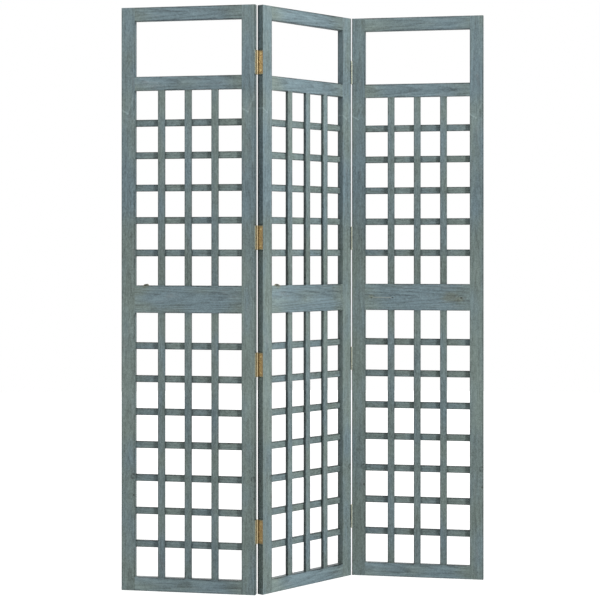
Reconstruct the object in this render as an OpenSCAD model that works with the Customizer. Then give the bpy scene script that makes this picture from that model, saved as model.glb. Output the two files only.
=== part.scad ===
// Folding garden screen: three trellis panels, hinged to stand in a zig-zag.
// Each panel is a mortised frame with an open window over two fields of lattice.
// The origin is on the floor, under the centre of the middle panel.

/* [Panels] */
// Width of one panel
panel_w = 400; // [320:5:600]
// Height of one panel
panel_h = 1700; // [1500:10:2000]
// Thickness of the frame, front to back
frame_t = 20; // [19:0.5:30]
// Turn from one panel's line to the next as the screen stands, in degrees
fold = 60; // [10:1:120]

/* [Frame] */
// Width of the stiles
stile_w = 40; // [38:1:60]
// Height of the top rail
top_rail_h = 40; // [30:1:60]
// Height of the open window under the top rail
window_h = 162; // [80:1:260]
// Height of the rail under the window
window_rail_h = 40; // [30:1:60]
// Height of the middle rail, between the two fields of lattice
middle_rail_h = 80; // [50:1:110]
// Height of the lower field of lattice
lower_field_h = 770; // [600:5:850]
// Height of the bottom rail
bottom_rail_h = 40; // [30:1:60]
// Chamfer on the long edges of stiles and rails
arris = 0.5; // [0.3:0.1:2]

/* [Frame joints] */
// Length of the rail tenons
tenon_l = 20; // [10:1:20]
// Thickness of the rail tenons
tenon_t = 8; // [5:0.5:9]
// Shoulder above and below a tenon
tenon_shoulder = 8; // [4:0.5:10]
// Room round a tenon or stub in its mortise
joint_clear = 0.2; // [0.05:0.05:0.5]

/* [Lattice] */
// Width of the laths
lath_w = 20; // [14:1:24]
// Thickness of the laths
lath_t = 9.5; // [8:0.1:9.5]
// Upright laths in each field
uprights = 3; // [1:1:5]
// Crossbars in the upper field
upper_crossbars = 5; // [2:1:7]
// Crossbars in the lower field
lower_crossbars = 7; // [3:1:9]
// Length of the stubs on the lath ends
stub_l = 8; // [4:0.5:12]
// Shoulder on each side of a stub
stub_shoulder = 2; // [1:0.1:3]
// Chamfer on the long edges of the laths
lath_arris = 0.5; // [0.3:0.1:1.5]

/* [Hinges] */
// Height of the lowest hinge's centre above the floor
bottom_hinge_z = 180; // [100:1:300]
// Drop from the middle rail to the centre of the hinge below it
lower_hinge_drop = 148; // [60:1:250]
// Rise from the middle rail to the centre of the hinge above it
upper_hinge_rise = 139; // [60:1:250]
// Drop from the top of the panel to the centre of the highest hinge
top_hinge_drop = 165; // [80:1:300]
// Height of the leaves
leaf_h = 70; // [60:1:90]
// Thickness of the leaves
leaf_t = 1.2; // [1:0.1:1.5]
// Step from a leaf's free edge to the face of the panel
leaf_margin = 0.5; // [0:0.1:1.5]
// Diameter of the pins
pin_d = 2.5; // [2:0.1:3]
// Gap between a pin and its knuckles, on the radius
pin_clear = 0.05; // [0.03:0.01:0.08]
// Knuckles on a hinge, counted on both leaves
knuckles = 5; // [3:2:7]
// Gap between neighbouring knuckles
knuckle_gap = 0.25; // [0.1:0.05:0.5]
// Step from the face of the panel out to the pin's axis
axis_out = 0.5; // [0.5:0.1:3]
// Room round a barrel where it turns beside the wood
barrel_clear = 0.3; // [0.2:0.05:0.6]
// Room between a leaf's cut-back edge and the other leaf's knuckles
notch_clear = 0.5; // [0.3:0.05:0.8]
// Thickness of a pin's heads
pin_head_h = 0.8; // [0.5:0.1:1.2]
// Step from the pin out to the rim of its heads
pin_head_lip = 0.9; // [0.6:0.1:1.1]
// Room above and below a leaf in its bed
bed_clear = 0.3; // [0.1:0.1:1]

/* [Screws] */
// Screws in each leaf
leaf_screws = 3; // [2:1:4]
// Diameter of the screws
screw_d = 3; // [2.5:0.1:3.5]
// Length of the screws with their heads
screw_l = 16; // [12:0.5:17]
// Length of a screw's point
screw_point = 3; // [2:0.5:4]
// Distance from the end of a leaf to its outer screws
screw_inset = 11; // [8:0.5:14]
// Shift of neighbouring screws to either side of the leaf's centre line
screw_stagger = 3; // [0:0.5:4]
// Room round a screw in its leaf and its pilot hole
screw_clear = 0.05; // [0.03:0.01:0.15]
// Length of each arm of the cross recess in a screw head
recess_l = 3; // [2:0.1:3.2]
// Width of the arms of the cross recess
recess_w = 0.7; // [0.5:0.1:0.9]
// Depth of the cross recess
recess_depth = 0.8; // [0.4:0.1:0.9]

/* [Hidden] */
$fn = 48;

// Extra reach of a cutter past the face that it cuts
over = 1;

window_rail_z = panel_h - top_rail_h - window_h - window_rail_h;
top_rail_z = panel_h - top_rail_h;
middle_rail_z = bottom_rail_h + lower_field_h;
upper_field_z = middle_rail_z + middle_rail_h;
upper_field_h = window_rail_z - upper_field_z;
field_w = panel_w - 2 * stile_w;

// Depths behind the front face: uprights in front, crossbars behind, meeting in mid-thickness
upright_y = frame_t / 2 - lath_t;
crossbar_y = frame_t / 2;

// Stub on a lath, on its width and its thickness
stub_w = lath_w - 2 * stub_shoulder;
stub_t = lath_t - 2 * stub_shoulder;

// Hinge section: the leaves lie parallel with the panels in line, one pin width apart
bore_r = pin_d / 2 + pin_clear;
knuckle_r = bore_r + leaf_t;
edge_gap = 2 * bore_r;
leaf_reach = axis_out + frame_t - leaf_margin;
notch_reach = sqrt(pow(knuckle_r + notch_clear, 2) - pow(edge_gap / 2, 2));
knuckle_l = (leaf_h - (knuckles - 1) * knuckle_gap) / knuckles;
screw_head_r = screw_d / 2 + leaf_t;

lower_hinge_z = middle_rail_z - lower_hinge_drop;
upper_hinge_z = upper_field_z + upper_hinge_rise;
top_hinge_z = panel_h - top_hinge_drop;

wood = [0.50, 0.56, 0.56];
lath_wood = [0.46, 0.52, 0.52];
brass = [0.72, 0.57, 0.34];
steel = [0.78, 0.66, 0.42];

// Centre of lath number i, counted from 1, when n laths divide a field evenly
function lath_at(i, n, field) = i * field / (n + 1);

// Heights of all crossbars
function crossbar_heights() = concat(
    [for (i = [1:lower_crossbars]) bottom_rail_h + lath_at(i, lower_crossbars, lower_field_h)],
    [for (i = [1:upper_crossbars]) upper_field_z + lath_at(i, upper_crossbars, upper_field_h)]);

// Rails as bottom height and height
function rails() = [
    [0, bottom_rail_h], [middle_rail_z, middle_rail_h],
    [window_rail_z, window_rail_h], [top_rail_z, top_rail_h]];

function hinge_heights() = [bottom_hinge_z, lower_hinge_z, upper_hinge_z, top_hinge_z];

// Places of the screws on a leaf: side step from the centre line and height
function screw_places() = [for (i = [0:leaf_screws - 1]) [
    (i % 2 == 0 ? -1 : 1) * screw_stagger,
    -leaf_h / 2 + screw_inset + i * (leaf_h - 2 * screw_inset) / (leaf_screws - 1)]];

// Rectangle from the origin with its corners cut off
module eased_rect(w, t, cut) {
    polygon([
        [cut, 0], [w - cut, 0], [w, cut], [w, t - cut],
        [w - cut, t], [cut, t], [0, t - cut], [0, cut]]);
}

// Bar along X from the origin, with eased long edges
module eased_bar(l, t, h, cut) {
    rotate([90, 0, 90]) linear_extrude(l) eased_rect(t, h, cut);
}

// Bar along Z from the origin, with eased long edges
module eased_post(w, t, h, cut) {
    linear_extrude(h) eased_rect(w, t, cut);
}

// The three panels stand in their own frames: X along the width, Y from the front to the back
module at_middle_panel() {
    rotate(fold) translate([-panel_w / 2, -frame_t / 2, 0]) children();
}

module at_left_panel() {
    at_middle_panel() translate([-edge_gap / 2, frame_t + axis_out, 0]) rotate(-fold)
        translate([-panel_w - edge_gap / 2, -frame_t - axis_out, 0]) children();
}

module at_right_panel() {
    at_middle_panel() translate([panel_w + edge_gap / 2, -axis_out, 0]) rotate(-fold)
        translate([edge_gap / 2, axis_out, 0]) children();
}

// Puts a hinge, drawn for a panel on the -X side of a pin behind it, on an edge of a panel
module on_right_edge_behind() {
    translate([panel_w + edge_gap / 2, frame_t + axis_out, 0]) children();
}

module on_left_edge_behind() {
    translate([-edge_gap / 2, frame_t + axis_out, 0]) mirror([1, 0, 0]) children();
}

module on_right_edge_in_front() {
    translate([panel_w + edge_gap / 2, -axis_out, 0]) mirror([0, 1, 0]) children();
}

module on_left_edge_in_front() {
    translate([-edge_gap / 2, -axis_out, 0]) rotate(180) children();
}

// Rail with a tenon on each end and a mortise for each upright that stands in it
module rail(z, h, field_above, field_below) {
    color(wood) difference() {
        union() {
            translate([stile_w, 0, z]) eased_bar(field_w, frame_t, h, arris);
            translate([stile_w - tenon_l, (frame_t - tenon_t) / 2, z + tenon_shoulder])
                cube([field_w + 2 * tenon_l, tenon_t, h - 2 * tenon_shoulder]);
        }
        if (field_above) upright_mortises(z + h - stub_l - joint_clear);
        if (field_below) upright_mortises(z - over);
    }
}

// Mortises for the stubs of the uprights, open past one edge of a rail
module upright_mortises(z) {
    for (i = [1:uprights])
        translate([
            stile_w + lath_at(i, uprights, field_w) - stub_w / 2 - joint_clear,
            upright_y + stub_shoulder - joint_clear, z])
            cube([stub_w + 2 * joint_clear, stub_t + 2 * joint_clear, stub_l + joint_clear + over]);
}

// Stile on the left edge of a panel, mortised for the rails and the crossbars
module left_stile_blank() {
    difference() {
        eased_post(stile_w, frame_t, panel_h, arris);
        for (r = rails())
            translate([
                stile_w - tenon_l - joint_clear, (frame_t - tenon_t) / 2 - joint_clear,
                r[0] + tenon_shoulder - joint_clear])
                cube([
                    tenon_l + joint_clear + over, tenon_t + 2 * joint_clear,
                    r[1] - 2 * tenon_shoulder + 2 * joint_clear]);
        for (z = crossbar_heights())
            translate([
                stile_w - stub_l - joint_clear, crossbar_y + stub_shoulder - joint_clear,
                z - stub_w / 2 - joint_clear])
                cube([
                    stub_l + joint_clear + over, stub_t + 2 * joint_clear, stub_w + 2 * joint_clear]);
    }
}

module right_stile_blank() {
    translate([panel_w, 0, 0]) mirror([1, 0, 0]) left_stile_blank();
}

// Stiles without hinges, at the ends of the screen
module outer_left_stile() {
    color(wood) left_stile_blank();
}

module outer_right_stile() {
    color(wood) right_stile_blank();
}

// Stiles that carry the hinges
module right_stile_hinged_behind() {
    color(wood) difference() {
        right_stile_blank();
        on_right_edge_behind() hinge_beds();
    }
}

module left_stile_hinged_behind() {
    color(wood) difference() {
        left_stile_blank();
        on_left_edge_behind() hinge_beds();
    }
}

module right_stile_hinged_in_front() {
    color(wood) difference() {
        right_stile_blank();
        on_right_edge_in_front() hinge_beds();
    }
}

module left_stile_hinged_in_front() {
    color(wood) difference() {
        left_stile_blank();
        on_left_edge_in_front() hinge_beds();
    }
}

// Beds for the leaves, cut right across the edge of the stile, with a hollow for the barrel
// and pilot holes for the screws
module hinge_beds() {
    hollow_h = leaf_h + 2 * (pin_head_h + bed_clear);
    for (z = hinge_heights()) {
        translate([-edge_gap / 2 - leaf_t, -axis_out - frame_t - over, z - leaf_h / 2 - bed_clear])
            cube([leaf_t + over, frame_t + 2 * over, leaf_h + 2 * bed_clear]);
        translate([0, 0, z - hollow_h / 2]) cylinder(r = knuckle_r + barrel_clear, h = hollow_h);
        at_leaf_screws(z) translate([0, 0, -screw_l - screw_clear])
            cylinder(r = screw_d / 2 + screw_clear, h = screw_l);
    }
}

// Puts a screw, drawn along Z with its head at the top, at each place on a leaf
module at_leaf_screws(z) {
    for (p = screw_places())
        translate([-edge_gap / 2, -axis_out - frame_t / 2 + p[0], z + p[1]]) rotate([0, 90, 0]) children();
}

// Uprights of one field, with a stub let into the rail at each end
module upright_laths(z, h) {
    color(lath_wood) for (i = [1:uprights])
        translate([stile_w + lath_at(i, uprights, field_w) - lath_w / 2, upright_y, z]) {
            eased_post(lath_w, lath_t, h, lath_arris);
            translate([stub_shoulder, stub_shoulder, -stub_l]) cube([stub_w, stub_t, h + 2 * stub_l]);
        }
}

// Crossbars of one field, with a stub let into the stile at each end
module crossbar_laths(z, h, n) {
    color(lath_wood) for (i = [1:n])
        translate([stile_w, crossbar_y, z + lath_at(i, n, h) - lath_w / 2]) {
            eased_bar(field_w, lath_t, lath_w, lath_arris);
            translate([-stub_l, stub_shoulder, stub_shoulder]) cube([field_w + 2 * stub_l, stub_t, stub_w]);
        }
}

module top_rail() {
    rail(top_rail_z, top_rail_h, false, false);
}

module window_rail() {
    rail(window_rail_z, window_rail_h, false, true);
}

module middle_rail() {
    rail(middle_rail_z, middle_rail_h, true, true);
}

module bottom_rail() {
    rail(0, bottom_rail_h, true, false);
}

module upper_uprights() {
    upright_laths(upper_field_z, upper_field_h);
}

module lower_uprights() {
    upright_laths(bottom_rail_h, lower_field_h);
}

module upper_crossbars() {
    crossbar_laths(upper_field_z, upper_field_h, upper_crossbars);
}

module lower_crossbars() {
    crossbar_laths(bottom_rail_h, lower_field_h, lower_crossbars);
}

// Leaf on the -X side of the pin: a plate down the panel's edge, rolled into knuckles round the pin
module leaf(z, first_knuckle) {
    plate_h = leaf_reach - notch_reach;
    color(brass) difference() {
        union() {
            translate([-edge_gap / 2 - leaf_t, -leaf_reach, z - leaf_h / 2]) cube([leaf_t, plate_h, leaf_h]);
            for (i = [first_knuckle:2:knuckles - 1])
                translate([0, 0, z - leaf_h / 2 + i * (knuckle_l + knuckle_gap)]) {
                    translate([-edge_gap / 2 - leaf_t, -leaf_reach, 0]) cube([leaf_t, leaf_reach, knuckle_l]);
                    cylinder(r = knuckle_r, h = knuckle_l);
                }
        }
        translate([0, 0, z - leaf_h / 2 - over]) cylinder(r = bore_r, h = leaf_h + 2 * over);
        at_leaf_screws(z) {
            translate([0, 0, -leaf_t])
                cylinder(r1 = screw_d / 2 + screw_clear, r2 = screw_head_r + screw_clear, h = leaf_t);
            translate([0, 0, -leaf_t - over]) cylinder(r = screw_d / 2 + screw_clear, h = leaf_t + over);
        }
    }
}

// Leaf with the knuckles at both ends, which holds the pin
module pin_leaf(z) {
    leaf(z, 0);
}

// Leaf with the knuckles between
module turning_leaf(z) {
    leaf(z, 1);
}

// Pin through all the knuckles, with a button head on each end
module hinge_pin(z) {
    head_r = pin_d / 2 + pin_head_lip;
    color(steel) translate([0, 0, z - leaf_h / 2]) {
        cylinder(r = pin_d / 2, h = leaf_h);
        translate([0, 0, leaf_h]) cylinder(r1 = head_r, r2 = pin_d / 2, h = pin_head_h);
        translate([0, 0, -pin_head_h]) cylinder(r1 = pin_d / 2, r2 = head_r, h = pin_head_h);
    }
}

// Countersunk screw along Z, its head flush at the top and its point below, with a cross recess
module screw() {
    difference() {
        union() {
            translate([0, 0, -leaf_t]) cylinder(r1 = screw_d / 2, r2 = screw_head_r, h = leaf_t);
            translate([0, 0, screw_point - screw_l]) cylinder(d = screw_d, h = screw_l - screw_point - leaf_t);
            translate([0, 0, -screw_l]) cylinder(r1 = 0, r2 = screw_d / 2, h = screw_point);
        }
        for (turn = [0, 90])
            rotate(turn) translate([-recess_l / 2, -recess_w / 2, -recess_depth])
                cube([recess_l, recess_w, recess_depth + over]);
    }
}

// All the screws down one edge of a panel
module edge_screws() {
    color(steel) for (z = hinge_heights()) at_leaf_screws(z) screw();
}

at_left_panel() outer_left_stile();  // left_panel_outer_stile
at_left_panel() right_stile_hinged_behind();  // left_panel_hinge_stile
at_left_panel() top_rail();  // left_panel_top_rail
at_left_panel() window_rail();  // left_panel_window_rail
at_left_panel() middle_rail();  // left_panel_middle_rail
at_left_panel() bottom_rail();  // left_panel_bottom_rail
at_left_panel() upper_uprights();  // left_panel_upper_uprights
at_left_panel() upper_crossbars();  // left_panel_upper_crossbars
at_left_panel() lower_uprights();  // left_panel_lower_uprights
at_left_panel() lower_crossbars();  // left_panel_lower_crossbars

at_middle_panel() left_stile_hinged_behind();  // middle_panel_left_stile
at_middle_panel() right_stile_hinged_in_front();  // middle_panel_right_stile
at_middle_panel() top_rail();  // middle_panel_top_rail
at_middle_panel() window_rail();  // middle_panel_window_rail
at_middle_panel() middle_rail();  // middle_panel_middle_rail
at_middle_panel() bottom_rail();  // middle_panel_bottom_rail
at_middle_panel() upper_uprights();  // middle_panel_upper_uprights
at_middle_panel() upper_crossbars();  // middle_panel_upper_crossbars
at_middle_panel() lower_uprights();  // middle_panel_lower_uprights
at_middle_panel() lower_crossbars();  // middle_panel_lower_crossbars

at_right_panel() left_stile_hinged_in_front();  // right_panel_hinge_stile
at_right_panel() outer_right_stile();  // right_panel_outer_stile
at_right_panel() top_rail();  // right_panel_top_rail
at_right_panel() window_rail();  // right_panel_window_rail
at_right_panel() middle_rail();  // right_panel_middle_rail
at_right_panel() bottom_rail();  // right_panel_bottom_rail
at_right_panel() upper_uprights();  // right_panel_upper_uprights
at_right_panel() upper_crossbars();  // right_panel_upper_crossbars
at_right_panel() lower_uprights();  // right_panel_lower_uprights
at_right_panel() lower_crossbars();  // right_panel_lower_crossbars

// Left joint: the pins stand behind the panels, in the middle panel's leaves
at_left_panel() on_right_edge_behind() turning_leaf(top_hinge_z);  // left_top_hinge_left_leaf
at_middle_panel() on_left_edge_behind() pin_leaf(top_hinge_z);  // left_top_hinge_middle_leaf
at_middle_panel() on_left_edge_behind() hinge_pin(top_hinge_z);  // left_top_hinge_pin
at_left_panel() on_right_edge_behind() turning_leaf(upper_hinge_z);  // left_upper_hinge_left_leaf
at_middle_panel() on_left_edge_behind() pin_leaf(upper_hinge_z);  // left_upper_hinge_middle_leaf
at_middle_panel() on_left_edge_behind() hinge_pin(upper_hinge_z);  // left_upper_hinge_pin
at_left_panel() on_right_edge_behind() turning_leaf(lower_hinge_z);  // left_lower_hinge_left_leaf
at_middle_panel() on_left_edge_behind() pin_leaf(lower_hinge_z);  // left_lower_hinge_middle_leaf
at_middle_panel() on_left_edge_behind() hinge_pin(lower_hinge_z);  // left_lower_hinge_pin
at_left_panel() on_right_edge_behind() turning_leaf(bottom_hinge_z);  // left_bottom_hinge_left_leaf
at_middle_panel() on_left_edge_behind() pin_leaf(bottom_hinge_z);  // left_bottom_hinge_middle_leaf
at_middle_panel() on_left_edge_behind() hinge_pin(bottom_hinge_z);  // left_bottom_hinge_pin

// Right joint: the pins stand in front of the panels, in the middle panel's leaves
at_middle_panel() on_right_edge_in_front() pin_leaf(top_hinge_z);  // right_top_hinge_middle_leaf
at_right_panel() on_left_edge_in_front() turning_leaf(top_hinge_z);  // right_top_hinge_right_leaf
at_middle_panel() on_right_edge_in_front() hinge_pin(top_hinge_z);  // right_top_hinge_pin
at_middle_panel() on_right_edge_in_front() pin_leaf(upper_hinge_z);  // right_upper_hinge_middle_leaf
at_right_panel() on_left_edge_in_front() turning_leaf(upper_hinge_z);  // right_upper_hinge_right_leaf
at_middle_panel() on_right_edge_in_front() hinge_pin(upper_hinge_z);  // right_upper_hinge_pin
at_middle_panel() on_right_edge_in_front() pin_leaf(lower_hinge_z);  // right_lower_hinge_middle_leaf
at_right_panel() on_left_edge_in_front() turning_leaf(lower_hinge_z);  // right_lower_hinge_right_leaf
at_middle_panel() on_right_edge_in_front() hinge_pin(lower_hinge_z);  // right_lower_hinge_pin
at_middle_panel() on_right_edge_in_front() pin_leaf(bottom_hinge_z);  // right_bottom_hinge_middle_leaf
at_right_panel() on_left_edge_in_front() turning_leaf(bottom_hinge_z);  // right_bottom_hinge_right_leaf
at_middle_panel() on_right_edge_in_front() hinge_pin(bottom_hinge_z);  // right_bottom_hinge_pin

at_left_panel() on_right_edge_behind() edge_screws();  // left_panel_hinge_screws
at_middle_panel() on_left_edge_behind() edge_screws();  // middle_panel_left_hinge_screws
at_middle_panel() on_right_edge_in_front() edge_screws();  // middle_panel_right_hinge_screws
at_right_panel() on_left_edge_in_front() edge_screws();  // right_panel_hinge_screws
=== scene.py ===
import math
import random
from typing import Callable, NamedTuple

import bmesh
import bpy
from mathutils import Matrix, Vector, noise


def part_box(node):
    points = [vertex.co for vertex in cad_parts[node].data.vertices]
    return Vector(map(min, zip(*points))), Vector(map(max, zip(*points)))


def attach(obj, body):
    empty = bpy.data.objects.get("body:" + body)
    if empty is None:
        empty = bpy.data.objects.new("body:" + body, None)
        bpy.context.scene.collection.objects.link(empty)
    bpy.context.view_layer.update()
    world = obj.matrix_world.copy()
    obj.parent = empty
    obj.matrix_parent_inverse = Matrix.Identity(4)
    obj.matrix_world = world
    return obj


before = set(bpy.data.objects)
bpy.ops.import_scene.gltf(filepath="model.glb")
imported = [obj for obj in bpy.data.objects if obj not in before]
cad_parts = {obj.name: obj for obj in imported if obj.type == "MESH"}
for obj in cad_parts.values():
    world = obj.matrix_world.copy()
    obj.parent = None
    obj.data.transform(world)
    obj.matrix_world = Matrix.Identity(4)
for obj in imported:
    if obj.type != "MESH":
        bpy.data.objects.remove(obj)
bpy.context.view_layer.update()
MM = 0.001


# Node trees written as expressions

class Wire:
    """One output in a node tree. Arithmetic on it adds Math nodes."""

    def __init__(self, recipe, socket):
        self.recipe = recipe
        self.socket = socket

    def output(self, name):
        """Another output of the same node."""
        return Wire(self.recipe, self.socket.node.outputs[name])

    def math(self, operation, *values):
        """One Math node."""
        return self.recipe.node("Math", {"operation": operation}, dict(enumerate(values)))

    def __add__(self, other):
        return self.math("ADD", self, other)

    def __radd__(self, other):
        return self.math("ADD", other, self)

    def __sub__(self, other):
        return self.math("SUBTRACT", self, other)

    def __rsub__(self, other):
        return self.math("SUBTRACT", other, self)

    def __mul__(self, other):
        return self.math("MULTIPLY", self, other)

    def __rmul__(self, other):
        return self.math("MULTIPLY", other, self)

    def __truediv__(self, other):
        return self.math("DIVIDE", self, other)

    def __rtruediv__(self, other):
        return self.math("DIVIDE", other, self)

    def __pow__(self, other):
        return self.math("POWER", self, other)

    def __rpow__(self, other):
        return self.math("POWER", other, self)

    def __abs__(self):
        return self.math("ABSOLUTE", self)

    def most(self, other):
        return self.math("MAXIMUM", self, other)

    def least(self, other):
        return self.math("MINIMUM", self, other)

    def fract(self):
        return self.math("FRACT", self)

    def nearest(self):
        return self.math("ROUND", self)

    def sine(self):
        return self.math("SINE", self)

    def root(self):
        return self.math("SQRT", self)

    def rise(self, start, end):
        """0 below start, 1 above end and smooth between them; start may be the higher one."""
        settings = {"interpolation_type": "SMOOTHSTEP"}
        sockets = {"Value": self, "From Min": start, "From Max": end, "To Min": 0.0, "To Max": 1.0}
        return self.recipe.node("MapRange", settings, sockets)


class Recipe:
    """The node tree of a material or the world."""

    def __init__(self, tree):
        self.tree = tree
        self.tree.nodes.clear()

    def node(self, kind, settings=None, sockets=None):
        """Adds one node: first its settings, then the values or links of its sockets."""
        node = self.tree.nodes.new("ShaderNode" + kind)
        for name, value in (settings or {}).items():
            setattr(node, name, value)
        for name, value in (sockets or {}).items():
            socket = node.inputs[name] if isinstance(name, int) else self.named(node, name)
            if isinstance(value, Wire):
                self.tree.links.new(value.socket, socket)
            else:
                socket.default_value = value
        if not node.outputs:
            return None
        return Wire(self, next(socket for socket in node.outputs if socket.enabled))

    def named(self, node, name):
        """The input of that name which the node's settings leave in use."""
        return next(socket for socket in node.inputs if socket.enabled and socket.name == name)

    def place(self):
        """A surface point in the row frame, in millimetres."""
        sockets = {"Vector": self.node("TexCoord").output("Object"), "Scale": (1 / MM,) * 3}
        return self.node("Mapping", {}, sockets)

    def axes(self, vector):
        """A vector's three parts."""
        split = self.node("SeparateXYZ", {}, {"Vector": vector})
        return [split.output(axis) for axis in "XYZ"]

    def vector(self, x, y, z):
        return self.node("CombineXYZ", {}, {"X": x, "Y": y, "Z": z})

    def noise(self, vector, scale, detail, roughness, shift=0.0):
        """Smooth noise around 0, from about -1 to 1."""
        sockets = {"Vector": vector, "W": shift, "Scale": scale, "Detail": detail, "Roughness": roughness}
        return (self.node("TexNoise", {"noise_dimensions": "4D"}, sockets) - 0.5) * 3.0

    def mix(self, factor, first, second):
        """A colour between two others."""
        settings = {"data_type": "RGBA", "blend_type": "MIX", "clamp_factor": True}
        return self.node("Mix", settings, {"Factor": factor, "A": first, "B": second})

    def scaled(self, colour, value):
        """A colour made lighter or darker."""
        return self.node("VectorMath", {"operation": "SCALE"}, {"Vector": colour, "Scale": value})

    def bump(self, height, strength, depth):
        """Relief up to a depth in millimetres."""
        return self.node("Bump", {}, {"Strength": strength, "Distance": depth * MM, "Height": height})

    def surface(self, sockets):
        shader = self.node("BsdfPrincipled", {}, sockets)
        self.node("OutputMaterial", {}, {"Surface": shader})


def paint(red, green, blue):
    """A colour by its 0 to 255 values, as the linear numbers that a socket takes."""
    return tuple(((value / 255 + 0.055) / 1.055) ** 2.4 for value in (red, green, blue)) + (1.0,)


def new_finish(name):
    material = bpy.data.materials.new(name)
    material.use_nodes = True
    return material, Recipe(material.node_tree)


def dress(node, material):
    """Gives a CAD node its finish."""
    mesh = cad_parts[node].data
    mesh.materials.clear()
    mesh.materials.append(material)


# The panels: u across, w from the front to the back and v up, in millimetres

PANEL_W, FRAME_T, PANEL_H = 400.0, 20.0, 1700.0
STILE_W, LATH_W, LATH_T = 40.0, 20.0, 9.5
LATH_INSET = 0.5
LATH_PITCH, UPRIGHTS = 80.0, 3
HINGE_H = 70.0


class Field(NamedTuple):
    """A lattice between two rails: its lower end, its height, how many crossbars it has and its shade."""
    bottom: float
    height: float
    crossbars: int
    shade: float

    @property
    def pitch(self):
        return self.height / (self.crossbars + 1)

    def middles(self):
        """The heights of the crossbars."""
        spaces = self.crossbars + 1
        return [self.bottom + self.height * row / spaces for row in range(1, spaces)]


class Rail(NamedTuple):
    """A rail's lower and upper edge, whether uprights meet it there, its shade and the painted shade on its
    top face.
    """
    bottom: float
    top: float
    from_below: bool
    from_above: bool
    shade: float = 1.0
    top_shade: float = 0.26


class Stile(NamedTuple):
    """A stile's inner side, 1 for its right or -1 for its left, the painted shade on its left and right faces
    (painted light where below 0), its shade, and for a hinged one the side of the hinges and the painted
    shade on the front beside the knuckles."""
    inner: int
    faces: tuple
    shade: float = 0.96
    hinges: tuple = None


class Panel(NamedTuple):
    """How a panel stands, turned by so many degrees, and how its stain came out.

    fade is painted shade: how much darker its rails and crossbars get with each millimetre to the right.
    rails_dark darkens its rails, and rail_top_shade is painted shade on their top faces. The last three are a
    Stain's rims and faces; upright_face_shade is painted shade and light on the sides of its uprights."""
    seed: int
    shade: float
    turn: float = 0.0
    fade: float = 0.0
    rails_dark: float = 0.0
    rail_top_shade: float = 0.0
    stile_rims: tuple = (0.34, 0.34)
    upright_rims: tuple = (0.4, 0.0)
    upright_face_shade: tuple = (0.06, 0.3)


FIELDS = {
    "upper": Field(bottom=890.0, height=568.0, crossbars=5, shade=0.9),
    "lower": Field(bottom=40.0, height=770.0, crossbars=7, shade=0.865),
}
RAILS = {
    "top_rail": Rail(1660.0, 1700.0, from_below=False, from_above=False),
    "window_rail": Rail(1458.0, 1498.0, from_below=True, from_above=False),
    "middle_rail": Rail(810.0, 890.0, from_below=True, from_above=True, shade=0.96),
    "bottom_rail": Rail(0.0, 40.0, from_below=False, from_above=True, top_shade=0.5),
}
# The two stiles at the right joint have a lower shade: painted shade in the corner between the middle and
# right panels.
STILES = {
    "left_panel_outer_stile": Stile(inner=1, faces=(0.1, 0.14)),
    "left_panel_hinge_stile": Stile(inner=-1, faces=(0.1, 0.16), hinges=(1, 0.0)),
    "middle_panel_left_stile": Stile(inner=1, faces=(0.27, -0.06), hinges=(-1, 0.0)),
    "middle_panel_right_stile": Stile(inner=-1, faces=(-0.12, 0.0), shade=0.89, hinges=(1, 0.3)),
    "right_panel_hinge_stile": Stile(inner=1, faces=(0.16, 0.14), shade=0.88, hinges=(-1, 0.3)),
    "right_panel_outer_stile": Stile(inner=-1, faces=(0.1, 0.1)),
}
# The middle panel faces the key light and is painted lighter than the others, with painted shade falling off
# to the right.
PANELS = {
    "left_panel": Panel(seed=5, shade=0.88),
    "middle_panel": Panel(seed=105, shade=0.95, turn=60.0, fade=0.0006, rails_dark=0.04, rail_top_shade=0.06,
                          stile_rims=(0.2, 0.5), upright_rims=(0.2, 0.55), upright_face_shade=(0.26, -0.25)),
    "right_panel": Panel(seed=205, shade=0.89),
}


def panel_frame(panel):
    """The matrix from a panel's own u, w, v in millimetres to the row frame in metres."""
    turn = Matrix.Rotation(math.radians(PANELS[panel].turn), 4, "Z")
    if panel == "middle_panel":
        corner = -(turn @ Vector((PANEL_W / 2, FRAME_T / 2, 0))) * MM
    else:
        left_stile = next(stile for stile in STILES if stile.startswith(panel) and STILES[stile].inner == 1)
        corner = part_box(left_stile)[0]
    return Matrix.Translation((corner.x, corner.y, 0)) @ turn @ Matrix.Scale(MM, 4)


def panel_place(recipe, panel):
    """A surface point in its panel's own u, w, v."""
    back = panel_frame(panel).inverted()
    sockets = {
        "Vector": recipe.node("TexCoord").output("Object"),
        "Location": back.to_translation(),
        "Rotation": (0, 0, -math.radians(PANELS[panel].turn)),
        "Scale": (1 / MM,) * 3,
    }
    return recipe.node("Mapping", {"vector_type": "POINT"}, sockets)


def middle_of(node):
    """The middle of a CAD node, in millimetres."""
    low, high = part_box(node)
    return (low + high) / 2 / MM


def pins_of(joint):
    return [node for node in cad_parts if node.startswith(joint) and node.endswith("_pin")]


# The wood and its stain

BLUE_STAIN = paint(128, 148, 155)
GREEN_STAIN = paint(133, 148, 143)
GREY_STAIN = paint(141, 147, 148)
BROWN_STAIN = paint(141, 140, 133)
OLIVE_STAIN = paint(131, 136, 118)
KNOT_BROWN = paint(56, 58, 50)
RUBBED_WOOD = paint(184, 188, 178)
RING_W = 2.4
KNOT_LENGTH, EYE_LENGTH, SPOT_LENGTH = 1.6, 1.1, 1.5
LATH_VARIANT_STEP, LATH_LENGTH_STEP = 2.37, 311
HINGE_HEIGHTS = [middle_of(pin).z for pin in pins_of("right")]


class Shape(NamedTuple):
    """A board's centre line and width across the grain, and the middle and amount of its thickness.

    A set of equal laths has a pitch too, and its centre line is the first lath's."""
    upright: bool
    centre: float
    width: float
    depth: float = FRAME_T / 2
    thickness: float = FRAME_T
    pitch: float = None


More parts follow.
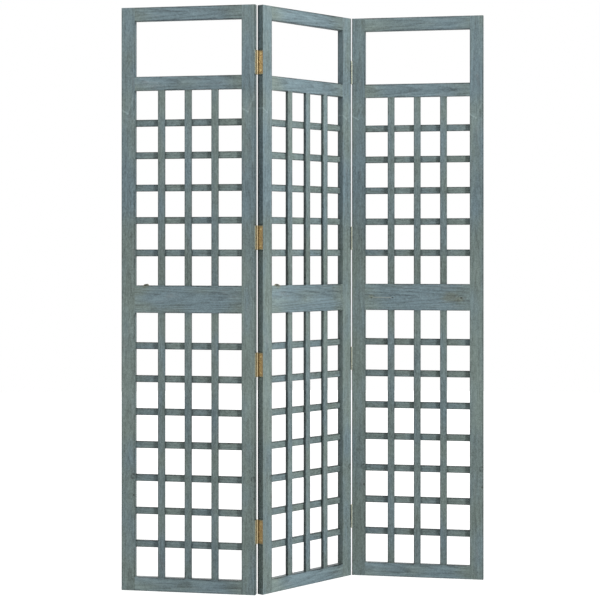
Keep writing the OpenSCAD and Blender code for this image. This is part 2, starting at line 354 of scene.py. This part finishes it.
class Wood(NamedTuple):
    """Where the heart of the tree lay, beside the centre line and behind the middle of the board, how much
    further from it each millimetre along the board is, and how strongly each feature of the grain shows."""
    heart_side: float
    heart_depth: float
    taper: float = 0.012
    figure: float = 0.14
    streaks: float = 0.18
    flecks: float = 0.3
    clouds: float = 0.05
    bands: float = 0.14


class Stain(NamedTuple):
    """The shade of a whole board, which holds the painted light and shade of its panel and place, and how
    dark the stain lies on its arrises, with the painted shade on its side faces.

    rims is for the arrises and faces for the painted shade on the side faces (painted light below 0), on the
    low side and the high side. cool and light give, from the place along the board, the share of blue and how
    much lighter the stain lies."""
    shade: float
    rims: tuple
    faces: tuple
    cool: Callable
    light: Callable


class Marks(NamedTuple):
    """Marks by their places along and across.

    Knots, the eyes of larger ones and brown spots have a radius. A fork is the place of its tip. A scratch is
    its start and stop along the board, its place across and its breadth."""
    knots: tuple = ()
    eyes: tuple = ()
    forks: tuple = ()
    brown: tuple = ()
    scratches: tuple = ()


class Crossed(NamedTuple):
    """The laths that a set of laths meets: where their field starts and stops, their pitch, and 1 if they lie
    behind or -1 if before."""
    start: float
    stop: float
    pitch: float
    behind: int


def stretch(along, start, stop, soft=30.0):
    """1 between two places along a board and 0 beyond them."""
    return along.rise(start - soft, start + soft) * along.rise(stop + soft, stop - soft)


class Board:
    """A board, or a set of equal laths, in the node tree of its finish.

    along is a point's place along the grain, side its distance from the centre line, deep its distance behind
    the middle of the thickness and height its height. variant and length set the noise of one board or lath
    apart from another's."""

    def __init__(self, name, panel, shape, seed):
        self.material, self.recipe = new_finish(name)
        self.shape = shape
        u, w, self.height = self.recipe.axes(panel_place(self.recipe, panel))
        self.along, across = (self.height, u) if shape.upright else (u, self.height)
        self.deep = w - shape.depth
        self.variant = random.Random(seed).uniform(-50, 50)
        if shape.pitch:
            which = ((across - shape.centre) / shape.pitch).nearest()
            self.side = across - shape.centre - which * shape.pitch
            self.variant = which * LATH_VARIANT_STEP + self.variant
            self.length = self.along + which * LATH_LENGTH_STEP
        else:
            self.side = across - shape.centre
            self.length = self.along
        self.low_face = self.side.rise(0.7 - shape.width / 2, 0.2 - shape.width / 2)
        self.high_face = self.side.rise(shape.width / 2 - 0.7, shape.width / 2 - 0.2)
        self.grow()

    def grow(self):
        """Makes the noises: long ones of the grain, and rounder ones for the way the stain took."""
        self.fibre = self.drawn_noise(squeeze=0.045, scale=1.1, detail=3.0, roughness=0.6, shift=0)
        self.band = self.drawn_noise(squeeze=0.006, scale=0.2, detail=2.0, roughness=0.6, shift=43)
        self.grit = self.drawn_noise(squeeze=0.7, scale=0.42, detail=1.0, roughness=0.5, shift=53)
        self.streak = self.drawn_noise(squeeze=0.11, scale=0.22, detail=2.0, roughness=0.6, shift=7)
        self.wander = self.drawn_noise(squeeze=0.045, scale=0.035, detail=1.0, roughness=0.5, shift=13)
        self.fleck = self.drawn_noise(squeeze=0.42, scale=0.24, detail=2.0, roughness=0.65, shift=37)
        self.patch = self.drawn_noise(squeeze=0.3, scale=0.025, detail=2.0, roughness=0.5, shift=19)
        self.blush = self.drawn_noise(squeeze=0.3, scale=0.06, detail=2.0, roughness=0.6, shift=29)

    def drawn_noise(self, squeeze, scale, detail, roughness, shift):
        """Noise that is drawn out along the grain, by squeezing the length."""
        vector = self.recipe.vector(self.length * squeeze, self.side, self.deep)
        return self.recipe.noise(vector, scale, detail, roughness, self.variant + shift)

    def away_from(self, place, offset, drawn):
        """The distance from the middle of a mark that is longer along the grain, by the factor drawn."""
        return (((self.along - place) / drawn) ** 2 + (self.side - offset) ** 2).root()

    def rings(self, wood, marks):
        """Draws the years' rings round the heart, pushed aside by knots, and darkens the knots and eyes."""
        push = 0.0
        self.knot_dark = 0.0
        for place, offset, radius in marks.knots:
            away = self.away_from(place, offset, KNOT_LENGTH)
            push = push + away.rise(radius * 4.5, 0) * radius * 1.6
            self.knot_dark = away.rise(radius, radius * 0.5).most(self.knot_dark)
        self.eye_dark = 0.0
        for place, offset, radius in marks.eyes:
            away = self.away_from(place, offset, EYE_LENGTH)
            push = push + away.rise(radius * 2.5, radius * 0.8) * radius * 0.8
            half_ring = away.rise(radius - 6.0, radius - 2.5) * (self.side - offset).rise(2.0, -2.0)
            inside = away.rise(radius + 1.0, radius - 1.2) * (0.17 + half_ring * 0.18)
            self.eye_dark = inside.most(self.eye_dark)
        heart_side = self.variant.sine() * (wood.heart_side * 3) if self.shape.pitch else wood.heart_side
        across = self.side - heart_side + self.wander * 4
        heart = (across ** 2 + (self.deep - wood.heart_depth) ** 2).root()
        grown = heart + self.length * wood.taper + push + self.wander * 2 + self.streak * 0.3
        year = (grown / RING_W).fract()
        self.late = year.rise(0.35, 0.88) * year.rise(1.0, 0.92)

    def bare_tone(self, wood):
        """How light the stained wood is away from arrises and marks."""
        return (1.0 + wood.figure * 0.3 + self.streak * wood.streaks + self.fleck * wood.flecks
                + self.fibre * 0.05 + self.patch * wood.clouds + self.band * wood.bands + self.grit * 0.32
                - self.late * wood.figure)

    def meetings(self, joints, crossed):
        """How free the arrises are of other boards, from 0 to 1, and the painted shade in the corners beside
        other laths and rails.
        """
        if not crossed:
            return joints(self.along, self.side) if joints else 1.0, 0.0
        end = (self.along - crossed.start).least(crossed.stop - self.along)
        inner = end.rise(10, 14)
        step = (self.along - crossed.start) / crossed.pitch
        beside = abs(step - step.nearest()) * crossed.pitch - LATH_W / 2
        back = self.shape.thickness / 2
        touching = (self.deep * crossed.behind).rise(back - 1.2, back - 0.2)
        corner = beside.rise(8.0, 0.3) * inner * touching
        return 1 - beside.rise(1.5, -0.5) * inner, end.rise(9.0, 0.3).most(corner)

    def edged(self, tone, stain, free, near):
        """Stain gathers along the arrises, and handling has worn the line beside arrises lighter.

        The side faces carry painted shade (painted light where faces is below 0), darkest along the back, and
        near adds painted shade in the corners beside other boards."""
        half_w, half_t = self.shape.width / 2, self.shape.thickness / 2
        from_arris = (half_w - abs(self.side)).most(half_t - abs(self.deep)) + self.streak * 0.35
        rim = from_arris.rise(3.8, 0.8) * free
        wear_and_highlight = from_arris.rise(3.4, 4.6) * from_arris.rise(8.0, 5.6) * free
        rim_dark = stain.rims[0] + self.side.rise(-2, 2) * (stain.rims[1] - stain.rims[0])
        back_rim = self.deep.rise(half_t - 4.0, half_t - 1.5)
        # painted shade on the side faces and in the corners beside other boards
        return (tone - rim * rim_dark + wear_and_highlight * 0.05 - self.low_face.most(self.high_face) * back_rim * 0.75
                - self.low_face * stain.faces[0] - self.high_face * stain.faces[1] - near * 0.18)

    def forked(self, tone, tip, offset):
        """The grain forks above a tip, and the stain lies paler on the two arms of the V."""
        left_slope, right_slope = 0.6, 0.37
        up = self.along - tip + self.streak * 0.5
        right = self.side - offset
        left_arm = abs(up + right * left_slope).rise(3.6, 0.8) * right.rise(1.0, -2.0)
        beside_arm = right - up * right_slope
        right_arm = abs(beside_arm).rise(2.6, 0.6) * up.rise(0.0, 4.0) * up.rise(56.0, 26.0)
        point = (up ** 2 + right ** 2).root().rise(4.2, 1.2)
        hollow = beside_arm.rise(2.0, 6.0) * up.rise(4.0, 20.0) * up.rise(44.0, 30.0)
        pale = (left_arm * 0.4).most(right_arm * 0.2).most(point * 0.57) - hollow * 0.12
        return tone + pale

    def capped(self, tone):
        """The end grain at the top and the foot has drunk more stain."""
        foot = self.height.rise(0.6, 0.2)
        return tone - self.height.rise(PANEL_H - 0.6, PANEL_H - 0.2).most(foot) * 0.3

    def hinged(self, tone, hinge_side, knuckle_shade):
        """Painted shade in the beds of the hinges and on the front beside the knuckles."""
        from_hinge = PANEL_H
        for height in HINGE_HEIGHTS:
            from_hinge = abs(self.height - height).least(from_hinge)
        half_w, half_h = self.shape.width / 2, HINGE_H / 2
        beside = (self.side * hinge_side).rise(half_w - 9.0, half_w - 2.5) * self.deep.rise(-3, -8)
        bed_shade = (self.high_face if hinge_side > 0 else self.low_face) * from_hinge.rise(half_h + 7, half_h + 2)
        return tone - beside * from_hinge.rise(half_h + 2, half_h - 1) * knuckle_shade - bed_shade * 0.3

    def tint(self, cool, brown):
        """The stain's colour, bluer and greener in patches, with brown spots."""
        mix = self.recipe.mix
        tint = mix((self.patch * 0.6 + cool(self.along)).rise(0.0, 1.0), GREEN_STAIN, BLUE_STAIN)
        tint = mix(self.blush.rise(0.1, 1.1) * 0.6, tint, GREY_STAIN)
        tint = mix(self.fleck.rise(0.5, 1.3) * 0.3, tint, BROWN_STAIN)
        for place, offset, radius in brown:
            away = self.away_from(place, offset, SPOT_LENGTH) + self.streak * radius * 0.3
            tint = mix(away.rise(radius, radius * 0.2) * 0.55, tint, OLIVE_STAIN)
        return tint

    def scratched(self, colour, start, stop, offset, breadth):
        """A scratch shows bare wood, in a stretch where the stain is rubbed dull."""
        reach = self.along.rise(start - 1, start + 2) * self.along.rise(stop + 1, stop - 2)
        from_line = abs(self.side - offset + self.streak * 0.3)
        colour = self.recipe.scaled(colour, 1 - from_line.rise(9.0, 4.0) * reach * 0.18)
        return self.recipe.mix(from_line.rise(breadth, breadth * 0.4) * reach * 0.7, colour, RUBBED_WOOD)

    def finish(self, colour):
        """The material, with its relief."""
        relief = self.fibre * 0.35 - self.late * 0.5 - self.knot_dark * 0.4
        self.recipe.surface({
            "Base Color": colour,
            "Roughness": 0.62 + self.fibre * 0.05 - self.late * 0.08,
            "Specular IOR Level": 0.12,
            "Normal": self.recipe.bump(relief, strength=0.35, depth=0.3),
        })
        return self.material


def stain_board(node, panel, shape, seed, wood, stain, marks=Marks(), joints=None, crossed=None, hinges=None):
    """Dresses a board, or a set of equal laths, in stained wood.

    joints gives, from the place along and across, 0 where another board meets this one's edge and 1 beyond.
    hinges is the side, 1 or -1, of the edge that carries hinges, and how much painted shade lies on the front
    beside them."""
    board = Board(f"stain_{node}", panel, shape, seed)
    board.rings(wood, marks)
    tone = board.edged(board.bare_tone(wood), stain, *board.meetings(joints, crossed))
    tone = tone - board.eye_dark + stain.light(board.along)
    for fork in marks.forks:
        tone = board.forked(tone, *fork)
    if node in STILES:
        tone = board.capped(tone)
    if hinges:
        tone = board.hinged(tone, *hinges)
    colour = board.recipe.scaled(board.tint(stain.cool, marks.brown), tone * stain.shade)
    if marks.knots:
        colour = board.recipe.mix(board.knot_dark * 0.85, colour, KNOT_BROWN)
    for scratch in marks.scratches:
        colour = board.scratched(colour, *scratch)
    dress(node, board.finish(colour))


# Where boards meet

def stile_joints(inner):
    """The rails and crossbars meet a stile on its inner edge, on the side 1 or -1."""
    meeting = [(rail.bottom, rail.top) for rail in RAILS.values()]
    for field in FIELDS.values():
        meeting += [(middle - LATH_W / 2, middle + LATH_W / 2) for middle in field.middles()]

    def free(along, side):
        meets = 0.0
        for bottom, top in meeting:
            meets = (along.rise(bottom - 1, bottom + 1) * along.rise(top + 1, top - 1)).most(meets)
        return 1 - meets * (side * inner).rise(6, 10)
    return free


def rail_joints(rail):
    """The uprights meet a rail from below, from above or both."""
    def free(along, side):
        from_lath = abs(along - STILE_W - ((along - STILE_W) / LATH_PITCH).nearest() * LATH_PITCH)
        meets = from_lath.rise(LATH_W / 2 + 1, LATH_W / 2 - 1)
        if not (rail.from_below and rail.from_above):
            meets = meets * (side * (1 if rail.from_above else -1)).rise(2, 6)
        return 1 - meets
    return free if rail.from_below or rail.from_above else None


# How the stain changes along the boards

def stile_cool(v):
    """The stiles are greener below and bluer above, with a green stretch at the fork in the grain."""
    return (0.22 + v.rise(1000.0, 1140.0) * 0.45 + v.rise(170.0, 110.0) * 0.14 + stretch(v, 350, 450) * 0.24
            - stretch(v, 560, 690) * 0.08 + stretch(v, 740, 890) * 0.1 + stretch(v, 1150, 1280) * 0.12
            - stretch(v, 1340, 1440) * 0.22 + stretch(v, 1465, 1540) * 0.16 - v.rise(1630.0, 1690.0) * 0.15)


def stile_light(v):
    """The stain lies thick on the lower end of a stile and thin on the upper, in stretches."""
    return (stretch(v, 455, 849, 20) * 0.045 + stretch(v, 540, 605, 25) * 0.06 - stretch(v, 120, 435) * 0.06
            - v.rise(120.0, 60.0) * 0.035 - stretch(v, 955, 1235) * 0.085 + stretch(v, 1345, 1450) * 0.075
            + v.rise(1535.0, 1590.0) * 0.085)


def upright_cool(v):
    """The uprights are greenest beside the rails and in one place between."""
    return (0.41 - stretch(v, 900, 960) * 0.26 + stretch(v, 1050, 1340) * 0.1 - v.rise(1370.0, 1420.0) * 0.12
            + stretch(v, 85, 160, 20) * 0.18 - stretch(v, 365, 405, 20) * 0.28 + stretch(v, 450, 720) * 0.14
            - stretch(v, 750, 810, 20) * 0.28)


def upright_light(v):
    """The stain lies thinner towards the top of each field."""
    upper = (v - 1170.0) * 0.0005 * v.rise(849.0, 851.0)
    return (upper - v.rise(165.0, 90.0) * 0.11 + stretch(v, 205, 245, 15) * 0.06
            - stretch(v, 415, 560, 20) * 0.075 + stretch(v, 605, 645, 12) * 0.1
            + stretch(v, 690, 810, 20) * 0.075)


def second_bays(u):
    """1 in every second bay between the uprights."""
    return stretch(u, 120, 200, 10) + stretch(u, 280, 360, 10)


def crossbar_cool(u):
    """Every second bay of the crossbars is greener."""
    return 0.47 - second_bays(u) * 0.16


def crossbar_light(fade):
    """Every second bay of the crossbars is lighter; fade is painted shade that darkens them towards the right
    end.
    """
    def light(u):
        return (second_bays(u) - 0.5) * 0.06 - (u - PANEL_W / 2) * fade
    return light


def rail_cool(u):
    """The rails are bluest in the middle."""
    return 0.8 - abs(u - PANEL_W / 2).rise(70.0, 165.0) * 0.44


def rail_light(fade):
    """The stain lies thin at the left end of a rail; fade is painted shade that darkens the right end
    besides.
    """
    def light(u):
        return u.rise(105.0, 70.0) * 0.12 - u.rise(230.0, 330.0) * 0.06 - (u - PANEL_W / 2) * fade
    return light


# The boards of the panels

STILE_MARKS = Marks(knots=((278.5, 17.0, 2.8), (339.5, 17.0, 1.9)), eyes=((333.0, 15.0, 8.0),),
                    forks=((1391.5, -1.3),))
RAIL_MARKS = {
    "left_panel_middle_rail": Marks(brown=((72.0, 39.0, 9.0),)),
    "middle_panel_middle_rail": Marks(brown=((68.0, 39.0, 10.0),)),
    "right_panel_middle_rail": Marks(knots=((59.5, -2.2, 1.7), (125.0, -1.2, 2.2), (334.5, -1.6, 2.7)),
                                     brown=((298.0, -1.0, 24.0), (328.0, -7.0, 14.0), (60.0, 2.0, 8.0)),
                                     scratches=((65.0, 121.0, -0.9, 1.2),)),
}
STILE_WOOD = {inner: Wood(heart_side=3 * inner, heart_depth=40) for inner in (1, -1)}
RAIL_WOOD = Wood(heart_side=4, heart_depth=60, taper=0.02, figure=0.22, streaks=0.24, flecks=0.22,
                 clouds=0.12, bands=0.32)
LATH_WOOD = Wood(heart_side=20, heart_depth=35, streaks=0.26, flecks=0.4)
# The undersides and top faces of rails and crossbars carry painted shade.
RAIL_RIMS, RAIL_UNDERSIDE_SHADE = (0.4, 0.5), 0.08
CROSSBAR_RIMS, CROSSBAR_FACE_SHADE = (0.34, 0.5), (0.24, 0.42)


def stain_stile(node, panel, stile, seed):
    own = PANELS[panel]
    centre = STILE_W / 2 if stile.inner == 1 else PANEL_W - STILE_W / 2
    stain = Stain(stile.shade * own.shade, own.stile_rims, stile.faces, stile_cool, stile_light)
    shape = Shape(upright=True, centre=centre, width=STILE_W)
    stain_board(node, panel, shape, seed, STILE_WOOD[stile.inner], stain, STILE_MARKS,
                joints=stile_joints(stile.inner), hinges=stile.hinges)


def stain_rail(node, panel, rail, seed):
    own = PANELS[panel]
    shade = own.shade * (rail.shade - own.rails_dark)
    # painted shade on the rail's underside and top face
    faces = (RAIL_UNDERSIDE_SHADE, rail.top_shade + own.rail_top_shade)
    stain = Stain(shade, RAIL_RIMS, faces, rail_cool, rail_light(own.fade))
    shape = Shape(upright=False, centre=(rail.bottom + rail.top) / 2, width=rail.top - rail.bottom)
    stain_board(node, panel, shape, seed, RAIL_WOOD, stain, RAIL_MARKS.get(node, Marks()),
                joints=rail_joints(rail))


def stain_uprights(node, panel, field, seed):
    own = PANELS[panel]
    stain = Stain(field.shade * own.shade, own.upright_rims, own.upright_face_shade, upright_cool, upright_light)
    shape = Shape(upright=True, centre=STILE_W + LATH_PITCH, width=LATH_W, depth=LATH_INSET + LATH_T / 2,
                  thickness=LATH_T, pitch=LATH_PITCH)
    crossed = Crossed(start=field.bottom, stop=field.bottom + field.height, pitch=field.pitch, behind=1)
    stain_board(node, panel, shape, seed, LATH_WOOD, stain, crossed=crossed)


def stain_crossbars(node, panel, field, seed):
    own = PANELS[panel]
    light = crossbar_light(own.fade)
    stain = Stain(field.shade * own.shade, CROSSBAR_RIMS, CROSSBAR_FACE_SHADE, crossbar_cool, light)
    depth = FRAME_T - LATH_INSET - LATH_T / 2
    shape = Shape(upright=False, centre=field.bottom + field.pitch, width=LATH_W, depth=depth,
                  thickness=LATH_T, pitch=field.pitch)
    crossed = Crossed(start=STILE_W, stop=PANEL_W - STILE_W, pitch=LATH_PITCH, behind=-1)
    stain_board(node, panel, shape, seed, LATH_WOOD, stain, crossed=crossed)


for panel, own in PANELS.items():
    for node, stile in STILES.items():
        if node.startswith(panel):
            stain_stile(node, panel, stile, own.seed + stile.inner)
    for number, (name, rail) in enumerate(RAILS.items()):
        stain_rail(f"{panel}_{name}", panel, rail, own.seed + 10 + number)
    for name, field in FIELDS.items():
        stain_uprights(f"{panel}_{name}_uprights", panel, field, own.seed + 20)
        stain_crossbars(f"{panel}_{name}_crossbars", panel, field, own.seed + 30)


# Brass hinges, pins and screws

KNUCKLE_R, KNUCKLE_PITCH = 2.5, 14.05
# CREASE_SHADE_BROWN is painted shade in the creases and seams of the knuckles and on their flanks.
CREASE_SHADE_BROWN = paint(64, 53, 30)
SMEARED_STAIN = paint(136, 146, 138)
FASTENER_TINT, FASTENER_DULL = paint(206, 188, 154), paint(160, 142, 112)
FASTENER_ROUGHNESS, LEAF_ROUGHNESS = 0.3, 0.36


class Leaf(NamedTuple):
    """The brass of a leaf: its colour, its tarnish, and the colour of the painted highlight on its knuckles.

    The highlight lies at lit degrees round from the front to the right, where the knuckles are rubbed
    smoother too.
    Painted shade darkens the leaf where knuckles meet, on the knuckles' flanks and within reach of them, and
    stain may lie smeared on its front."""
    tint: tuple
    dull: tuple
    crest: tuple
    lit: float
    reach: float
    smeared: float = 0.0


# The crest colours are painted highlights.
LEFT_CREST_HIGHLIGHT, RIGHT_CREST_HIGHLIGHT = paint(212, 194, 156), paint(244, 251, 236)
# The leaf tints are lit and shaded copies of one brass: the left joint's left leaf painted pale as if lit,
# its middle leaf darker as if in shade, and the right joint's leaves pale and grey as a painted reflection of
# the white backdrop.
RIGHT_LEAF = Leaf(paint(190, 190, 168), paint(150, 148, 126), RIGHT_CREST_HIGHLIGHT, lit=70.0, reach=3.5)
LEAVES = {
    ("left", "left"): Leaf(paint(236, 238, 208), paint(208, 208, 178), LEFT_CREST_HIGHLIGHT, lit=38.0, reach=5.5,
                           smeared=0.85),
    ("left", "middle"): Leaf(paint(171, 146, 111), paint(131, 108, 77), LEFT_CREST_HIGHLIGHT, lit=38.0, reach=3.0),
    ("right", "middle"): RIGHT_LEAF,
    ("right", "right"): RIGHT_LEAF,
}


def leaf_with_highlight(recipe, place, colour, joint, leaf):
    """The colour of a leaf with a painted highlight on its knuckles, painted shade in its creases and stained
    ends, and where the highlight lies.
    """
    x, y, z = recipe.axes(place)
    centres = [middle_of(pin) for pin in pins_of(joint)]
    right, back = x - centres[0].x, y - centres[0].y
    away = (right ** 2 + back ** 2).root()
    from_middle = PANEL_H
    for centre in centres:
        from_middle = abs(z - centre.z).least(from_middle)
    seam = abs((from_middle / KNUCKLE_PITCH).fract() - 0.5).rise(0.1, 0.03)
    on_knuckle = away.rise(KNUCKLE_R + 0.5, KNUCKLE_R + 0.1)
    turn = math.radians(leaf.lit)
    # wear_and_highlight is a painted highlight along the crest of each knuckle, which is also rubbed
    # smoother.
    wear_and_highlight = on_knuckle * (right * math.sin(turn) - back * math.cos(turn)).rise(1.4, 2.1)
    # crease_shade is painted shade in the creases, at the seams and on the knuckles' flanks.
    crease_shade = away.rise(KNUCKLE_R + leaf.reach, KNUCKLE_R + leaf.reach * 0.2).most(on_knuckle * seam.most(0.5))
    crease_shade = crease_shade * (1 - wear_and_highlight * (1 - seam))
    stained_end = from_middle.rise(HINGE_H / 2 - 4.5, HINGE_H / 2) * 0.6
    smear = (back.rise(-10, -15) * leaf.smeared).most(stained_end)
    colour = recipe.mix(smear, colour, SMEARED_STAIN)
    return recipe.mix(wear_and_highlight, recipe.mix(crease_shade * 0.92, colour, CREASE_SHADE_BROWN), leaf.crest), wear_and_highlight


def brass(name, tint, dull, roughness, joint=None, leaf=None):
    """Lacquered brass, tarnished in patches; a leaf of a joint gets a painted highlight on its knuckles,
    rubbed smoother there, and painted shade in its creases.
    """
    material, recipe = new_finish(name)
    place = recipe.place()
    tarnish = recipe.noise(place, scale=0.22, detail=3.0, roughness=0.6)
    fine = recipe.noise(place, scale=1.4, detail=2.0, roughness=0.6)
    worn = (tarnish + fine * 0.4).rise(-0.5, 1.0)
    colour = recipe.mix(worn, tint, dull)
    rough = roughness + worn * 0.18 + fine * 0.03
    if leaf:
        colour, wear_and_highlight = leaf_with_highlight(recipe, place, colour, joint, leaf)
        rough = rough - wear_and_highlight * 0.08
    normal = recipe.bump(fine, strength=0.2, depth=0.1)
    recipe.surface({"Base Color": colour, "Metallic": 0.9, "Roughness": rough, "Normal": normal})
    return material


FASTENER_BRASS = brass("fastener_brass", FASTENER_TINT, FASTENER_DULL, FASTENER_ROUGHNESS)
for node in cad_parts:
    if node.endswith(("_pin", "_screws")):
        dress(node, FASTENER_BRASS)
for (joint, panel), leaf in LEAVES.items():
    finish = brass(f"hinge_brass_{joint}_{panel}", leaf.tint, leaf.dull, LEAF_ROUGHNESS, joint, leaf)
    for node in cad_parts:
        if node.startswith(joint) and node.endswith(f"_{panel}_leaf"):
            dress(node, finish)


# New pieces

def finished(name, form, material, body):
    """Makes a piece of a bmesh that is already in the row frame."""
    bmesh.ops.recalc_face_normals(form, faces=form.faces)
    mesh = bpy.data.meshes.new(name)
    form.to_mesh(mesh)
    form.free()
    mesh.materials.append(material)
    piece = bpy.data.objects.new(name, mesh)
    bpy.context.scene.collection.objects.link(piece)
    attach(piece, body)


BRAD_R, BRAD_TOP_R, BRAD_H = 1.5, 1.2, 0.5
BRAD_BEVEL = 0.12
SHARP = 0.6


def brad_steel():
    """Small blued heads with a little stain left on them."""
    material, recipe = new_finish("brad_steel")
    smear = recipe.noise(recipe.place(), scale=0.5, detail=2.0, roughness=0.6)
    stained = smear.rise(-0.2, 0.8)
    recipe.surface({
        "Base Color": recipe.mix(stained, paint(150, 152, 150), paint(96, 108, 108)),
        "Metallic": 0.9 - stained * 0.6,
        "Roughness": 0.38 + stained * 0.25,
    })
    return material


def brads(panel, material):
    """A brad head on the back of every crossing of the laths, half sunk in the crossbar."""
    heads = bmesh.new()
    lay = Matrix.Rotation(math.radians(-90), 4, "X")
    for field in FIELDS.values():
        for height in field.middles():
            for column in range(1, UPRIGHTS + 1):
                spot = Vector((STILE_W + LATH_PITCH * column, FRAME_T - LATH_INSET, height))
                place = panel_frame(panel) @ Matrix.Translation(spot) @ lay
                bmesh.ops.create_cone(heads, cap_ends=True, segments=14, radius1=BRAD_R, radius2=BRAD_TOP_R,
                                      depth=BRAD_H, matrix=place)
    rims = [edge for edge in heads.edges if len(edge.link_faces) == 2 and edge.calc_face_angle() > SHARP]
    bmesh.ops.bevel(heads, geom=rims, offset=BRAD_BEVEL * MM, offset_type="OFFSET", segments=2, profile=0.5,
                    affect="EDGES", material=-1)
    finished(f"{panel}_brads", heads, material, panel)


BRAD_STEEL = brad_steel()
for panel in PANELS:
    brads(panel, BRAD_STEEL)

RESIN_HALF_DEPTH, RESIN_HALF_HEIGHT = 3.2, 4.8
RESIN_BEHIND, RESIN_SUNK = 4.0, 0.4


def resin(name, panel, middle, length):
    """Hardened resin, dark in the middle where the stain stayed and pale round it."""
    material, recipe = new_finish(name)
    place = panel_place(recipe, panel)
    from_middle = abs(recipe.axes(place)[0] - middle)
    cloud = recipe.noise(place, scale=0.25, detail=3.0, roughness=0.6)
    core = (from_middle + cloud * 1.5).rise(length * 0.3, length * 0.16)
    recipe.surface({
        "Base Color": recipe.mix(core, paint(142, 138, 112), paint(56, 56, 40)),
        "Roughness": 0.45 - cloud * 0.1,
        "Coat Weight": 0.25,
        "Normal": recipe.bump(cloud, strength=0.4, depth=0.4),
    })
    return material


def resin_bead(panel, u, length, seed):
    """A bead that has run out of a knot on the top edge of the middle rail."""
    bead = bmesh.new()
    spot = Vector((u, RESIN_BEHIND, RAILS["middle_rail"].top - RESIN_SUNK))
    bmesh.ops.create_icosphere(bead, subdivisions=4, radius=1.0)
    for vert in bead.verts:
        swell = 1 + noise.noise(vert.co * 1.4 + Vector((seed, 0, 0))) * 0.35
        x, y, z = vert.co
        vert.co = Vector((x * length / 2, y * RESIN_HALF_DEPTH, z * RESIN_HALF_HEIGHT)) * swell
    bmesh.ops.transform(bead, matrix=panel_frame(panel) @ Matrix.Translation(spot), verts=bead.verts)
    name = f"{panel}_resin_bead"
    finished(name, bead, resin(name, panel, u, length), panel)


resin_bead("left_panel", u=74.5, length=18.0, seed=3.0)
resin_bead("middle_panel", u=64.0, length=23.0, seed=8.0)


# Floor, light and camera

FLOOR_R = 7.0
FLOOR_GREY = (0.5, 0.5, 0.5, 1.0)
BLACK, WHITE = (0.0, 0.0, 0.0, 1.0), (1.0, 1.0, 1.0, 1.0)
FLOOR_GLOW = 0.8
SKY_LIGHT = 0.3
EYE, EYE_TURN = (0.974728, -4.987615, 0.996272), 11.2481
LENS, LENS_SHIFT = 102.6115, -0.085097


def backdrop_share(recipe):
    """1 for the rays that show the backdrop: the camera's, and those seen in metal or through glass."""
    path = recipe.node("LightPath")
    reflected = path.output("Is Glossy Ray")
    passed = path.output("Is Transmission Ray")
    return path.output("Is Camera Ray").most(reflected).most(passed)


def studio_floor():
    """A pale floor that keeps the screen's shadow."""
    disc = bmesh.new()
    bmesh.ops.create_circle(disc, cap_ends=True, segments=96, radius=FLOOR_R)
    mesh = bpy.data.meshes.new("studio_floor")
    disc.to_mesh(mesh)
    disc.free()
    material, recipe = new_finish("studio_floor")
    recipe.surface({
        "Base Color": FLOOR_GREY,
        "Roughness": 1.0,
        "Specular IOR Level": 0.0,
        "Emission Color": recipe.mix(backdrop_share(recipe), BLACK, WHITE),
        "Emission Strength": FLOOR_GLOW,
    })
    mesh.materials.append(material)
    floor = bpy.data.objects.new("studio_floor", mesh)
    bpy.context.scene.collection.objects.link(floor)


def studio_sky():
    """White where it is seen, and dim as a light."""
    world = bpy.data.worlds.new("studio")
    bpy.context.scene.world = world
    world.use_nodes = True
    sky = Recipe(world.node_tree)
    strength = SKY_LIGHT + backdrop_share(sky) * (1 - SKY_LIGHT)
    background = sky.node("Background", {}, {"Color": WHITE, "Strength": strength})
    sky.node("OutputWorld", {}, {"Surface": background})


def softbox(name, side, height, distance, size, power):
    """A round lamp aimed at the middle of the screen.

    side is its angle round from the front to the right and height its angle up, in degrees. power is how
    bright a white surface that faces it looks."""
    lamp = bpy.data.lights.new(name, "AREA")
    lamp.shape = "DISK"
    lamp.size = size
    lamp.energy = power * math.pi ** 2 * distance ** 2
    side, height = math.radians(side), math.radians(height)
    aim = Vector((math.sin(side) * math.cos(height), -math.cos(side) * math.cos(height), math.sin(height)))
    box = bpy.data.objects.new(name, lamp)
    box.location = Vector((0, 0, PANEL_H * MM / 2)) + aim * distance
    box.rotation_euler = aim.to_track_quat("Z", "Y").to_euler()
    bpy.context.scene.collection.objects.link(box)


def camera():
    """Level, so that upright edges stay parallel, with the lens shifted to frame the screen."""
    data = bpy.data.cameras.new("camera")
    data.lens = LENS
    data.shift_y = LENS_SHIFT
    data.clip_end = 200.0
    eye = bpy.data.objects.new("camera", data)
    eye.location = EYE
    eye.rotation_euler = (math.radians(90), 0, math.radians(EYE_TURN))
    bpy.context.scene.collection.objects.link(eye)
    bpy.context.scene.camera = eye


studio_floor()
studio_sky()
softbox("key", side=58.0, height=27.0, distance=12.0, size=2.1, power=0.7)
softbox("left_fill", side=-25.0, height=12.0, distance=12.0, size=2.5, power=0.13)
softbox("back_fill", side=200.0, height=30.0, distance=16.0, size=5.0, power=0.45)
camera()
bpy.context.scene.view_settings.view_transform = "Standard"
